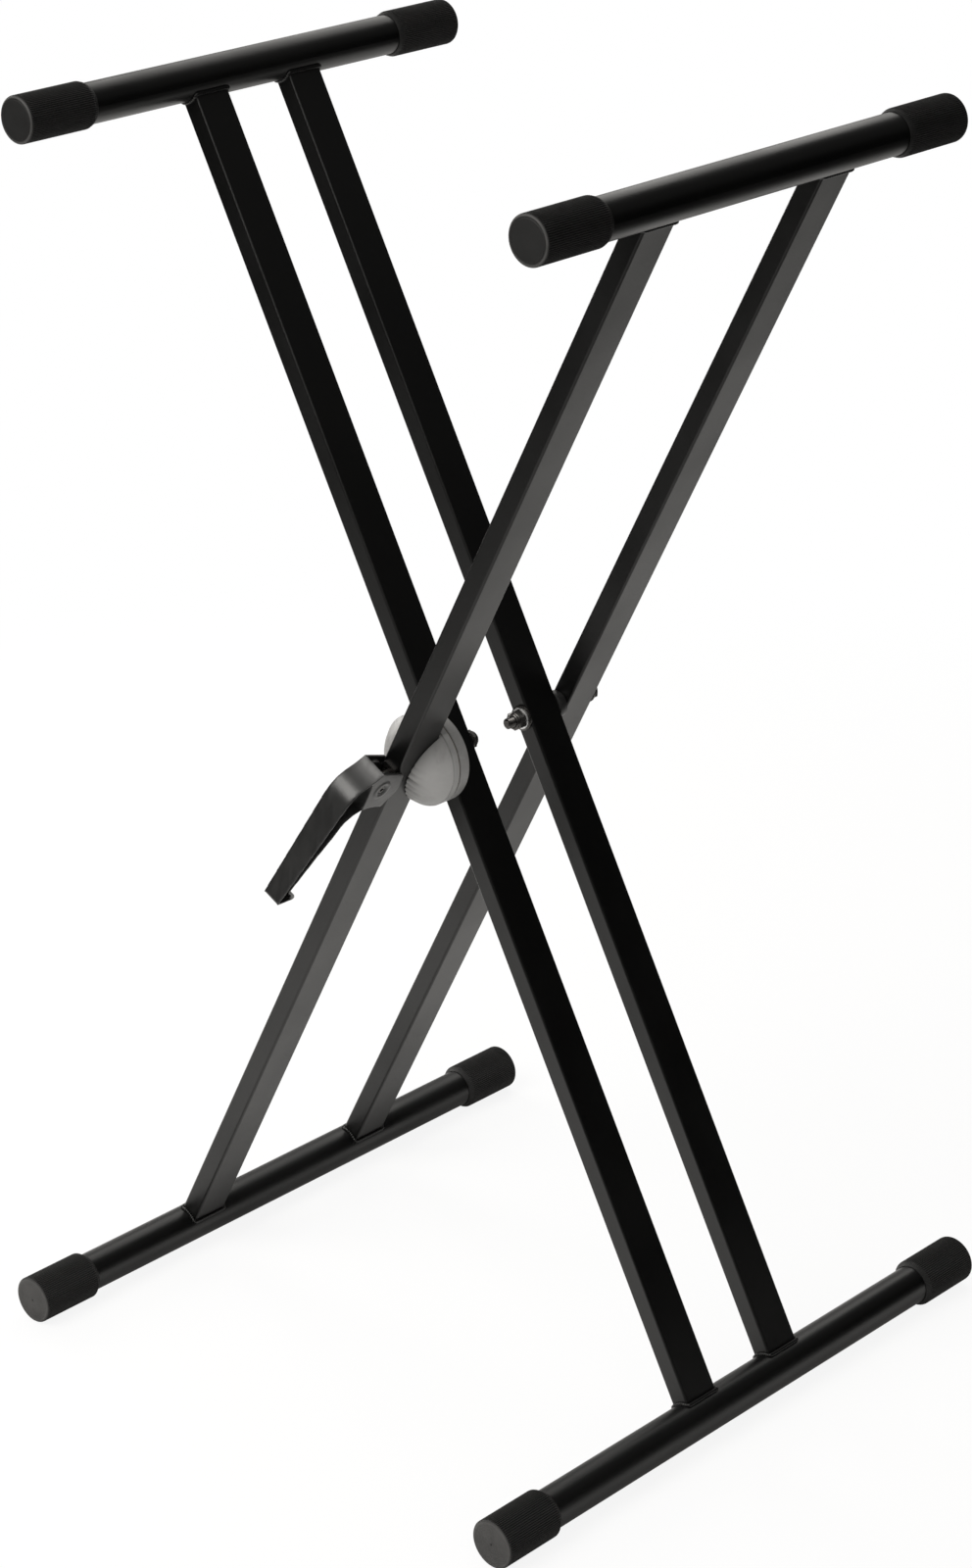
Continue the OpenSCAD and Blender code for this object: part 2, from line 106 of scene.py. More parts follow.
leg_low, leg_high = local_box("leg_outer_front", OUTER)
leg_t = leg_high.x - leg_low.x
leg_w = leg_high.y - leg_low.y
bar_r = (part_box("top_bar_inner")[1].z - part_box("top_bar_inner")[0].z) / 2
upper_reach = (middle("top_bar_outer") - pivot).length
lower_reach = (middle("foot_bar_outer") - pivot).length


# Meshes

# Angle in degrees above which an edge stays sharp
SHARP = 40
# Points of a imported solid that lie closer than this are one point
SAME_POINT = 0.002 * MM


def ramp(value, low, high):
    """0 up to low, 1 from high on, and a straight rise between."""
    return min(max((value - low) / (high - low), 0.0), 1.0)


def skin(loops, ring=False):
    """Vertices and quads between loops of points; a loop of one point closes as a pole."""
    points = []
    starts = []
    for loop in loops:
        starts.append(len(points))
        points.extend(loop)
    faces = []
    pairs = list(zip(range(len(loops)), range(1, len(loops))))
    if ring:
        pairs.append((len(loops) - 1, 0))
    for a, b in pairs:
        count = max(len(loops[a]), len(loops[b]))
        for i in range(count):
            j = (i + 1) % count
            corners = []
            for loop, step in ((a, i), (a, j), (b, j), (b, i)):
                corner = starts[loop] + (step if len(loops[loop]) > 1 else 0)
                if corner not in corners:
                    corners.append(corner)
            faces.append(corners)
    return points, faces


def lathe(profile, segments, radius=None):
    """Loops of a profile turned about Y; each of its rows starts with a radius and a y.

    radius gives the reshaped radius at a row's radius and y, an angle and the rest of the row.
    """
    loops = []
    for r, y, *rest in profile:
        if r == 0:
            loops.append([Vector((0, y, 0))])
            continue
        loop = []
        for i in range(segments):
            angle = TURN * i / segments
            out = radius(r, y, angle, *rest) if radius else r
            loop.append(Vector((out * math.sin(angle), y, out * math.cos(angle))))
        loops.append(loop)
    return loops


def joined(*parts):
    """One list of vertices and faces from several."""
    points = []
    faces = []
    for part_points, part_faces in parts:
        faces.extend([corner + len(points) for corner in face] for face in part_faces)
        points.extend(part_points)
    return points, faces


def add_wear_and_painted_light(mesh, wear_and_painted_light):
    """Stores how worn each point of a mesh is, and how much painted light or shade lies on it,
    from 0 to 1.
    """
    layer = mesh.attributes.new("wear_and_painted_light", "FLOAT", "POINT")
    layer.data.foreach_set("value", [wear_and_painted_light(vertex) for vertex in mesh.vertices])


def dress(obj, material, replaced, slot, sharp=SHARP):
    """Smooths a piece's shading up to an angle and ties it to the nodes that it replaces."""
    mesh = obj.data
    mesh.materials.clear()
    mesh.materials.append(material)
    mesh.polygons.foreach_set("use_smooth", [True] * len(mesh.polygons))
    mesh.set_sharp_from_angle(angle=math.radians(sharp))
    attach(obj, nodes[replaced[0]]["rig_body"])
    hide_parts(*replaced)


def make_piece(name, part, place, replaced, slot, sharp=SHARP, wear_and_painted_light=None):
    """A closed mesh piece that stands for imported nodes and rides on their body."""
    points, faces = part
    mesh = bpy.data.meshes.new(name)
    mesh.from_pydata(points, [], faces)
    work = bmesh.new()
    work.from_mesh(mesh)
    bmesh.ops.recalc_face_normals(work, faces=work.faces)
    work.to_mesh(mesh)
    work.free()
    if wear_and_painted_light:
        add_wear_and_painted_light(mesh, wear_and_painted_light)
    mesh.transform(place)
    obj = bpy.data.objects.new(name, mesh)
    bpy.context.scene.collection.objects.link(obj)
    dress(obj, looks[slot], replaced, slot, sharp)


def add_relax(obj, rounds):
    """A modifier that draws every point towards its neighbours."""
    relax = obj.modifiers.new("relax", "SMOOTH")
    relax.factor = 0.5
    relax.iterations = rounds
    return relax


def bake(obj):
    """Turns an object's modifiers into its mesh."""
    bpy.context.view_layer.update()
    depsgraph = bpy.context.evaluated_depsgraph_get()
    obj.data = bpy.data.meshes.new_from_object(obj.evaluated_get(depsgraph))
    obj.modifiers.clear()


def relax_facing(obj, direction, rounds):
    """Relaxes only the faces that look along a direction."""
    facing = 0.3
    group = obj.vertex_groups.new(name="facing")
    chosen = [v.index for v in obj.data.vertices if v.normal.dot(direction) > facing]
    group.add(chosen, 1.0, "REPLACE")
    add_relax(obj, rounds).vertex_group = group.name
    bake(obj)
    obj.vertex_groups.clear()


def soft_copy(name, node, extra, place, rounds, shape=None, bends=None):
    """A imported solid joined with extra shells, remeshed finely and relaxed into moulded fillets.

    The grid of the remesh lies along the axes of place, so that long edges stay straight. Faces
    that look along bends are relaxed much further, so that their folds turn slowly.
    """
    voxel = 0.45 * MM
    bend_rounds = 70
    work = bmesh.new()
    work.from_mesh(nodes[node].data)
    bmesh.ops.remove_doubles(work, verts=work.verts, dist=SAME_POINT)
    for points, faces in extra:
        corners = [work.verts.new(point) for point in points]
        for face in faces:
            work.faces.new([corners[i] for i in face])
    bmesh.ops.recalc_face_normals(work, faces=work.faces)
    mesh = bpy.data.meshes.new(name)
    work.to_mesh(mesh)
    work.free()
    mesh.transform(place.inverted())
    obj = bpy.data.objects.new(name, mesh)
    bpy.context.scene.collection.objects.link(obj)
    remesh = obj.modifiers.new("remesh", "REMESH")
    remesh.mode = "VOXEL"
    remesh.voxel_size = voxel
    add_relax(obj, rounds)
    bake(obj)
    if bends:
        relax_facing(obj, bends, bend_rounds)
    obj.data.transform(place)
    if shape:
        for vertex in obj.data.vertices:
            vertex.co = shape(vertex.co)
    return obj


# Camera


def make_camera():
    """The photograph's view, of a frame 992 wide and 1600 high."""
    azimuth, elevation, roll = 43.366, 21.392, -0.656
    stand_point = Vector((1.74583, -1.82405, 1.49862))
    long_side = 1600
    focal_pixels = 3964.6
    centre_pixel = (522.55, 676.69)
    middle_pixel = (496, 800)
    a, e = math.radians(azimuth), math.radians(elevation)
    forward = Vector((-math.sin(a) * math.cos(e), math.cos(a) * math.cos(e), -math.sin(e)))
    camera = bpy.data.cameras.new("camera")
    camera.sensor_width = 36
    camera.lens = focal_pixels * camera.sensor_width / long_side
    camera.shift_x = (middle_pixel[0] - centre_pixel[0]) / long_side
    camera.shift_y = (centre_pixel[1] - middle_pixel[1]) / long_side
    camera.clip_start = 0.05
    obj = bpy.data.objects.new("camera", camera)
    bpy.context.scene.collection.objects.link(obj)
    obj.location = stand_point
    level = forward.to_track_quat("-Z", "Y").to_matrix()
    obj.rotation_euler = (level @ Matrix.Rotation(math.radians(roll), 3, "Z")).to_euler()
    bpy.context.scene.camera = obj


# Shader nodes


class Tree:
    """A node tree with short calls for the few kinds of node used here."""

    def __init__(self, tree):
        self.tree = tree

    def node(self, kind, **inputs):
        """A new node; an underscore in an input's name stands for a space."""
        made = self.tree.nodes.new(kind)
        for name, value in inputs.items():
            self.put(made.inputs[name.replace("_", " ")], value)
        return made

    def put(self, socket, value):
        """Feeds a socket with another socket or with a value."""
        if isinstance(value, bpy.types.NodeSocket):
            self.tree.links.new(value, socket)
        else:
            socket.default_value = value

    def output(self, kind, shader):
        """The tree's last node, which takes a shader."""
        self.put(self.tree.nodes.new(kind).inputs["Surface"], shader.outputs[0])

    def math(self, operation, *values, clamp=False):
        """The result of an operation on sockets or numbers."""
        made = self.tree.nodes.new("ShaderNodeMath")
        made.operation = operation
        made.use_clamp = clamp
        for socket, value in zip(made.inputs, values):
            self.put(socket, value)
        return made.outputs[0]

    def times(self, a, b, clamp=False):
        """The product of two values."""
        return self.math("MULTIPLY", a, b, clamp=clamp)

    def larger(self, a, b):
        """The larger of two values."""
        return self.math("MAXIMUM", a, b)

    def size_of(self, value):
        """A value without its sign."""
        return self.math("ABSOLUTE", value)

    def spread(self, value, low, high, start=0.0, end=1.0):
        """Value carried from the range low to high onto start to end, and kept inside it."""
        made = self.tree.nodes.new("ShaderNodeMapRange")
        made.interpolation_type = "SMOOTHSTEP"
        for socket, number in zip(made.inputs, (value, low, high, start, end)):
            self.put(socket, number)
        return made.outputs[0]

    def place(self, scale=(1, 1, 1)):
        """Object coordinates in metres, stretched by scale."""
        made = self.tree.nodes.new("ShaderNodeMapping")
        coords = self.tree.nodes.new("ShaderNodeTexCoord")
        self.put(made.inputs["Vector"], coords.outputs["Object"])
        made.inputs["Scale"].default_value = scale
        return made.outputs[0]

    def noise(self, size, detail=2.0, roughness=0.5, stretch=(1, 1, 1)):
        """Noise with features about size metres across."""
        made = self.node("ShaderNodeTexNoise", Vector=self.place(stretch), Scale=1 / size,
                         Detail=detail, Roughness=roughness)
        return made.outputs["Fac"]

    def distance(self, point):
        """Distance of the object coordinates from a point."""
        made = self.tree.nodes.new("ShaderNodeVectorMath")
        made.operation = "DISTANCE"
        self.put(made.inputs[0], self.place())
        self.put(made.inputs[1], point)
        return made.outputs["Value"]

    def along(self):
        """Object coordinates along X, Y and Z."""
        made = self.node("ShaderNodeSeparateXYZ", Vector=self.place())
        return made.outputs["X"], made.outputs["Y"], made.outputs["Z"]

    def wear_and_painted_light(self):
        """How worn a point is, and how much painted light or shade lies on it, from 0 to 1."""
        made = self.tree.nodes.new("ShaderNodeAttribute")
        made.attribute_name = "wear_and_painted_light"
        return made.outputs["Fac"]

    def mix(self, fac, a, b):
        """Colour a turning into colour b."""
        made = self.tree.nodes.new("ShaderNodeMix")
        made.data_type = "RGBA"
        self.put(made.inputs["Factor"], fac)
        for name, value in (("A", a), ("B", b)):
            socket = next(s for s in made.inputs if s.name == name and s.type == "RGBA")
            self.put(socket, value if isinstance(value, bpy.types.NodeSocket) else (*value, 1.0))
        return next(s for s in made.outputs if s.type == "RGBA")

    def bump(self, height, depth, strength, under=None):
        """A relief of a depth in metres, laid over another where under is given."""
        made = self.node("ShaderNodeBump", Height=height, Distance=depth, Strength=strength)
        if under is not None:
            self.put(made.inputs["Normal"], under)
        return made.outputs["Normal"]


def emptied_tree(owner):
    """The node tree of a material or world, without its first nodes."""
    owner.use_nodes = True
    owner.node_tree.nodes.clear()
    return Tree(owner.node_tree)


def grey(value, warmth=0.0):
    """A neutral colour, a little warmer where warmth is above 0."""
    return (value * (1 + warmth), value, value * (1 - warmth))


# Looks


def surface(name, metallic=0.0, ior=1.5):
    """A material with a tree, and a call that gives it colour, roughness and relief."""
    material = bpy.data.materials.new(name)
    material.use_nodes = True
    tree = Tree(material.node_tree)
    shader = next(n for n in material.node_tree.nodes if n.type == "BSDF_PRINCIPLED")
    shader.inputs["Metallic"].default_value = metallic
    shader.inputs["IOR"].default_value = ior

    def finish(colour, roughness, relief):
        tree.put(shader.inputs["Base Color"], colour)
        tree.put(shader.inputs["Roughness"], roughness)
        tree.put(shader.inputs["Normal"], relief)
        return material

    return tree, finish


def powder_coat():
    """Satin black powder coat: a fine orange peel, cloudy gloss and sparse dust."""
    tree, finish = surface("black_powder_coat_look")
    cloud = tree.noise(90 * MM, detail=3)
    dust = tree.times(tree.spread(tree.noise(1.6 * MM, detail=1), 0.72, 0.80), 0.2)
    clean = tree.mix(cloud, grey(0.0014), grey(0.0023))
    peel = tree.bump(tree.noise(2.2 * MM, detail=1), 0.03 * MM, 0.5)
    grain = tree.bump(tree.noise(0.5 * MM, detail=2), 0.012 * MM, 0.5, under=peel)
    return finish(tree.mix(dust, clean, grey(0.03)),
                  tree.spread(cloud, 0.3, 0.7, start=0.33, end=0.41), grain)


def cap_rubber():
    """Matte black rubber that greys where it is scuffed, and with painted floor light on foot cap
    ends.
    """
    tree, finish = surface("cap_rubber_look", ior=1.45)
    blotch = tree.noise(11 * MM, detail=4, roughness=0.6)
    # Real scuffs on rims and rib crests, and painted floor light on the end faces of the foot caps
    scuff_and_painted_light = tree.times(tree.wear_and_painted_light(), tree.spread(blotch, 0.2, 0.7, start=0.62), clamp=True)
    clean = tree.mix(blotch, grey(0.006), grey(0.010, 0.02))
    return finish(tree.mix(scuff_and_painted_light, clean, grey(0.115, 0.02)),
                  tree.spread(blotch, 0.2, 0.8, start=0.56, end=0.70),
                  tree.bump(tree.noise(0.9 * MM, detail=3), 0.03 * MM, 0.6))


def clutch_plastic():
    """Warm light grey moulded plastic with faint flow streaks, smudges and painted shade."""
    tree, finish = surface("grey_clutch_plastic_look", ior=1.46)
    streak = tree.noise(12 * MM, detail=4, roughness=0.65, stretch=(1, 0.25, 1))
    cloud = tree.noise(16 * MM, detail=5, roughness=0.6, stretch=(1, 1, 0.6))
    smudge = tree.spread(cloud, 0.5, 0.72, end=0.22)
    clean = tree.mix(streak, grey(0.27), grey(0.365, 0.01))
    # Painted shade from the piece's mask, broken up along the streaks, with the random smudges
    # added
    painted_shade_and_smudge = tree.times(tree.wear_and_painted_light(), tree.spread(streak, 0.25, 0.6), clamp=True)
    painted_shade_and_smudge = tree.math("ADD", painted_shade_and_smudge, smudge, clamp=True)
    return finish(tree.mix(painted_shade_and_smudge, clean, grey(0.07, 0.03)),
                  tree.spread(streak, 0.3, 0.7, start=0.42, end=0.52),
                  tree.bump(tree.noise(1.2 * MM, detail=3), 0.02 * MM, 0.5))


def lever_plastic():
    """Satin black moulded plastic, scratched along its length, and paler where a sheen is painted.
    """
    tree, finish = surface("black_lever_plastic_look", ior=1.62)
    flow = tree.noise(6 * MM, detail=4, roughness=0.6, stretch=(1, 0.3, 0.3))
    fine = tree.noise(0.8 * MM, detail=2, stretch=(1, 0.15, 0.15))
    # Painted sheen on the back of the head, broken up along the flow streaks
    painted_sheen = tree.times(tree.wear_and_painted_light(), tree.spread(flow, 0.15, 0.6, start=0.55), clamp=True)
    black = tree.mix(flow, grey(0.013), grey(0.023))
    return finish(tree.mix(painted_sheen, black, grey(0.14)),
                  tree.spread(flow, 0.3, 0.7, start=0.29, end=0.39),
                  tree.bump(fine, 0.035 * MM, 0.9))


def steel(name, low, high, rough, metallic):
    """Plated or blackened steel with cloudy tone and fine grain."""
    tree, finish = surface(name, metallic=metallic)
    cloud = tree.noise(4 * MM, detail=4, roughness=0.6)
    return finish(tree.mix(cloud, low, high),
                  tree.spread(cloud, 0.3, 0.7, start=rough - 0.06, end=rough + 0.08),
                  tree.bump(tree.noise(0.6 * MM, detail=2), 0.01 * MM, 0.5))


def friction_fibre():
    """Pressed fibre lining with a speckled face."""
    tree, finish = surface("friction_lining_look")
    speck = tree.noise(1.2 * MM, detail=3, roughness=0.7)
    return finish(tree.mix(speck, (0.07, 0.06, 0.05), (0.2, 0.17, 0.14)), 0.85,
                  tree.bump(speck, 0.05 * MM, 0.7))


def nylon():
    """Satin black nylon."""
    tree, finish = surface("black_nylon_look", ior=1.53)
    cloud = tree.noise(4 * MM, detail=3)
    return finish(tree.mix(cloud, grey(0.011), grey(0.018)), 0.45,
                  tree.bump(tree.noise(0.7 * MM), 0.02 * MM, 0.4))


looks = {
    "black_powder_coat": powder_coat(),
    "cap_rubber": cap_rubber(),
    "grey_clutch_plastic": clutch_plastic(),
    "friction_lining": friction_fibre(),
    "black_lever_plastic": lever_plastic(),
    "black_nylon": nylon(),
    "black_fastener_steel": steel("black_fastener_steel_look", grey(0.05, 0.03), grey(0.13, 0.04),
                                  rough=0.27, metallic=0.9),
    "zinc_steel": steel("zinc_steel_look", grey(0.72, -0.01), grey(0.86), rough=0.3,
                        metallic=0.75),
}


def dress_packed_nodes():
    """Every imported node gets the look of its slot, shown or not."""
    for part in frame["record"]["subparts"]:
        obj = nodes[part["node"]]
        slot = part["material_slot"]
        for material_slot in obj.material_slots:
            material_slot.material = looks[slot]


# Caps

# Ribs around a cap, their height, and the points around the cap for each of them
RIBS = 72
RIB_H = 0.6 * MM
RIB_POINTS = 8
# Width of the rounded edge of a cap's closed end
CAP_BEVEL = 1.4 * MM
# Thickness of the closed end, length of the lip at the mouth, and wall of that lip
CAP_END = 3 * MM
CAP_LIP = 3.5 * MM
LIP_WALL = 0.8 * MM
# How scuffed a cap is on its rim, how much painted floor light pales the end face of a foot cap,
# and how scuffed the crests of its ribs are
RIM_SCUFF = 0.55
FOOT_FACE_PAINTED_LIGHT = 0.52
CREST_SCUFF = 0.10


def top_face(crest):
    """End face of a top cap: a disc in a shallow groove, inside a plain rim."""
    rim = crest - CAP_BEVEL
    groove = crest * 0.85
    steps = ((-1.1, 0.10), (-0.5, 0.16), (-0.2, 0.42), (0.15, 0.42), (0.4, 0.10), (0.7, 0.0))
    face = [(0, 0.05 * MM), (groove * 0.5, 0.06 * MM)]
    face.extend((groove + step * MM, depth * MM) for step, depth in steps)
    face.extend([(rim - 0.2 * MM, 0.0), (rim + 0.25 * MM, 0.12 * MM)])
    return face


def foot_face(crest):
    """End face of a foot cap: turned rings around a small moulding dimple."""
    rim = crest - CAP_BEVEL
    first, last = 1.6 * MM, rim - 1.0 * MM
    loops, loops_a_ring = 34, 4
    mean_depth, swing = 0.07 * MM, 0.05 * MM
    dimple = ((0, 0.7), (0.45, 0.66), (0.8, 0.25), (1.1, 0.10))
    face = [(r * MM, depth * MM) for r, depth in dimple]
    for i in range(loops):
        r = first + (last - first) * i / (loops - 1)
        face.append((r, mean_depth + swing * math.sin(i * TURN / loops_a_ring)))
    face.extend([(rim - 0.4 * MM, 0.05 * MM), (rim + 0.2 * MM, 0.22 * MM)])
    return face


def cap_profile(face, crest, length):
    """Radius, distance from the closed end and share of the ribs, from pole to pole."""
    lip = length - CAP_LIP
    profile = [(r, y, 0.0) for r, y in face]
    profile.extend([
        (crest - 0.6 * MM, 0.6 * MM, 0.0),
        (crest - 0.15 * MM, 1.1 * MM, 0.1),
        (crest, CAP_BEVEL + 0.2 * MM, 0.6),
        (crest, CAP_BEVEL + 0.9 * MM, 1.0)])
    straight = 6
    start, end = 4 * MM, lip - 0.9 * MM
    profile.extend((crest, start + (end - start) * i / straight, 1.0) for i in range(straight + 1))
    profile.extend([
        (crest - 0.05 * MM, lip - 0.2 * MM, 0.9),
        (crest - 0.5 * MM, lip + 0.4 * MM, 0.5),
        (bar_r + 1.5 * MM, length - 1.6 * MM, 0.1),
        (bar_r + LIP_WALL, length - 0.5 * MM, 0.0),
        (bar_r + LIP_WALL - 0.3 * MM, length, 0.0),
        (bar_r + 0.1 * MM, length, 0.0),
        (bar_r, length - 0.2 * MM, 0.0),
        (bar_r, CAP_END, 0.0),
        (0, CAP_END, 0.0)])
    return profile


def rib_radius(r, y, angle, share):
    """Rounded crests with narrow grooves between them."""
    narrow = 1.2
    wave = 0.5 - 0.5 * math.cos(RIBS * angle)
    return r - share * RIB_H * wave ** narrow


def make_cap(node, face, face_painted_light, side):
    """A ribbed cap; side is -1 with the closed end towards -Y and 1 towards +Y."""
    rim_width, crest_width = 0.7 * MM, 0.25 * MM
    low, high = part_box(node)
    crest = (high.z - low.z) / 2
    rim = crest - CAP_BEVEL
    end_y = low.y if side < 0 else high.y
    profile = cap_profile(face(crest), crest, high.y - low.y)
    loops = lathe(profile, RIBS * RIB_POINTS, rib_radius)
    if side > 0:
        loops = [[Vector((p.x, -p.y, p.z)) for p in loop] for loop in loops]

    def wear_and_painted_light(vertex):
        r = math.hypot(vertex.co.x, vertex.co.z)
        depth = abs(vertex.co.y)
        on_rim = math.exp(-((r - rim - 0.3 * MM) / rim_width) ** 2) if depth < 1 * MM else 0.0
        # A foot cap's end face is painted paler: painted floor light, not a scuff
        painted_face_light = face_painted_light if depth < 0.6 * MM and r < rim else 0.0
        on_crests = max(0.0, (r - crest + crest_width) / crest_width)
        return min(1.0, RIM_SCUFF * on_rim + painted_face_light + CREST_SCUFF * on_crests)

    centre = (low + high) / 2
    place = Matrix.Translation((centre.x, end_y, centre.z))
    make_piece("ribbed_" + node, skin(loops), place, [node], "cap_rubber", sharp=55, wear_and_painted_light=wear_and_painted_light)


def make_caps():
    """The four top caps and the four foot caps."""
    # A foot cap's end face gets painted floor light; a top cap's gets none
    for bar, face, face_painted_light in (("top", top_face, 0.0), ("foot", foot_face, FOOT_FACE_PAINTED_LIGHT)):
        for body in ("inner", "outer"):
            for end, side in (("front", -1), ("rear", 1)):
                make_cap(f"cap_{bar}_{body}_{end}", face, face_painted_light, side)


# Weld beads

# Radius of a bead, length of one of its ripples, and rounding of a leg's corners
BEAD_R = 1.5 * MM
RIPPLE = 1.7 * MM
LEG_CORNER = 1.8 * MM


def rounded_outline(w, h, corner, count):
    """Points spaced evenly around a rounded rectangle in XY, each with its outward direction
    and the distance run so far."""
    half_x, half_y = w / 2 - corner, h / 2 - corner
    arc = corner * math.pi / 2
    lengths = [2 * half_y, arc, 2 * half_x, arc] * 2
    total = sum(lengths)
    inner = [Vector((x * half_x, y * half_y)) for x, y in ((1, 1), (-1, 1), (-1, -1), (1, -1))]
    outline = []
    for i in range(count):
        run = total * i / count
        stretch = 0
        while run > lengths[stretch]:
            run -= lengths[stretch]
            stretch += 1
        quarter, is_arc = divmod(stretch, 2)
        angle = quarter * math.pi / 2
        if is_arc:
            angle += run / corner
            out = Vector((math.cos(angle), math.sin(angle)))
            point = inner[quarter] + out * corner
        else:
            out = Vector((round(math.cos(angle)), round(math.sin(angle))))
            point = inner[quarter - 1] + out * corner + Vector((-out.y, out.x)) * run
        outline.append((point, out, total * i / count))
    return outline


def weld_bead(y, reach, turn, seed):
    """A rippled bead around a leg's end on its bar, in the leg's frame.

    turn is 1 at the upper end of the leg and -1 at its lower end.
    """
    count, around = 300, 16
    ripple_share, swell_share = 0.10, 0.16
    swell_length = 6 * MM
    clear_of_corner = 0.25 * BEAD_R
    centres = []
    for point, out, run in rounded_outline(leg_t, leg_w, LEG_CORNER, count):
        rise = math.sqrt(max(bar_r ** 2 - point.x ** 2, 0))
        spot = Vector((point.x, y + point.y, turn * (reach - rise)))
        from_bar = Vector((point.x, 0, -turn * rise)).normalized()
        from_leg = Vector((out.x, out.y, 0))
        swell = noise.noise(Vector((run / swell_length, seed, 0)))
        ripple = math.sin(TURN * run / RIPPLE + swell)
        size = BEAD_R * (1 + ripple_share * ripple + swell_share * swell)
        centres.append((spot + (from_bar + from_leg) * clear_of_corner, size))
    loops = []
    for i, (centre, size) in enumerate(centres):
        ahead = (centres[(i + 1) % count][0] - centres[i - 1][0]).normalized()
        side = ahead.cross(Vector((0, 0, 1))).normalized()
        up = side.cross(ahead)
        angles = [TURN * k / around for k in range(around)]
        loops.append([centre + (side * math.cos(a) + up * math.sin(a)) * size for a in angles])
    return skin(loops, ring=True)


def make_welds():
    """The beads of both legs on each of the four bars."""
    for body, place in (("inner", INNER), ("outer", OUTER)):
        for end, reach, turn in (("top", upper_reach, 1), ("foot", lower_reach, -1)):
            beads = [weld_bead(middle(f"leg_{body}_{leg}").y, reach, turn, 7 * i + 3 * turn)
                     for i, leg in enumerate(("front", "rear"))]
            make_piece(f"beads_{body}_{end}", joined(*beads), place, [f"welds_{body}_{end}"],
                       "black_powder_coat", sharp=60)


# Clutch

# Radius of the clearance around a bolt
BOLT_BORE = 4.06 * MM
# The lobes' rim lies a little past the outer leg's inner face
housing_rim = leg_high.y + 1.5 * MM
# Depth and half width of a moulded groove in the lobes, and how far it runs before it fades
GROOVE_DEPTH = 1.7 * MM
GROOVE_HALF = 0.9 * MM
GROOVE_REACH = 10 * MM
# Height up the leg, in millimetres, and strength of each moulded groove
GROOVES = ((9, 0.3), (3.5, 0.45), (-2.5, 1.0), (-7.5, 0.55), (-12.5, 0.9), (-17.5, 1.0),
           (-22.5, 0.6))


def from_channel(local):
    """Distance of a point in the outer leg's frame from the sides of the leg's channel."""
    return max(abs(local.x) - leg_t / 2, 0)


def groove_depth(local):
    """Depth of the moulded grooves that run out from the leg's channel, in its frame."""
    out = from_channel(local) / GROOVE_REACH
    half = GROOVE_HALF * (1 + out)
    depth = sum(share * math.exp(-((local.z - z * MM) / half) ** 2) for z, share in GROOVES)
    above_rim = ramp(housing_rim - local.y, 0, 6 * MM)
    return GROOVE_DEPTH * depth * above_rim * math.exp(-out ** 2)


def sink_grooves(point):
    """Moves a point of the lobes towards their middle by the depth of the grooves."""
    local = INTO_OUTER @ point
    inward = Vector((0, housing_rim - local.y, -local.z)).normalized()
    return OUTER @ (local + inward * groove_depth(local))


def make_outer_housing():
    """The lobes with moulded grooves, and painted shade along their seam, channel and grooves."""
    seam_width, channel_width = 0.4 * MM, 0.8 * MM
    # Strength of the painted shade along the seam, the leg's channel and the grooves
    seam_painted_shade, channel_painted_shade, groove_painted_shade = 0.5, 0.5, 0.35
    obj = soft_copy("clutch_lobes", "clutch_outer_housing", [], OUTER, 3, shape=sink_grooves)

    def wear_and_painted_light(vertex):
        local = INTO_OUTER @ vertex.co
        seam = math.exp(-((local.y - housing_rim) / seam_width) ** 2)
        channel = math.exp(-from_channel(local) / channel_width)
        groove = groove_depth(local) / GROOVE_DEPTH
        return min(1.0, seam_painted_shade * seam + channel_painted_shade * channel + groove_painted_shade * groove)

    add_wear_and_painted_light(obj.data, wear_and_painted_light)
    slot = "grey_clutch_plastic"
    dress(obj, looks[slot], ["clutch_outer_housing"], slot, sharp=50)


def make_inner_housing():
    """The far half of the clutch, a disc with a chamfered rim and two pegs in its leg."""
    peg_r, peg_reach = 3 * MM, 20 * MM
    # Painted shade on the face towards the leg, in the bore and on the pegs; lighter painted shade
    # on the rim and the outer face
    inside_painted_shade, rim_painted_shade = 0.7, 0.3
    low, high = local_box("clutch_inner_housing", INNER)
    leg_face = local_box("leg_inner_front", INNER)[0].y
    r = (high.z - low.z) / 2
    disc = lathe([(BOLT_BORE, low.y), (r - 0.8 * MM, low.y), (r - 0.2 * MM, low.y + 0.25 * MM),
                  (r, low.y + 0.8 * MM), (r, leg_face - 1.3 * MM),
                  (r - 0.4 * MM, leg_face - 0.4 * MM), (r - 1.3 * MM, leg_face),
                  (BOLT_BORE, leg_face)], 144)
    parts = [skin(disc, ring=True)]
    for z in (-peg_reach, peg_reach):
        peg = lathe([(0, leg_face - MM), (peg_r, leg_face - MM), (peg_r, high.y - 0.5 * MM),
                     (peg_r - 0.5 * MM, high.y), (0, high.y)], 32)
        parts.append(skin([[point + Vector((0, 0, z)) for point in loop] for loop in peg]))

    def wear_and_painted_light(vertex):
        x, y, z = vertex.co
        inside = math.hypot(x, z) < r - 0.3 * MM and y > low.y + MM
        return inside_painted_shade if inside else rim_painted_shade

    make_piece("clutch_far_disc", joined(*parts), INNER, ["clutch_inner_housing"],
               "grey_clutch_plastic", wear_and_painted_light=wear_and_painted_light)


# Lever


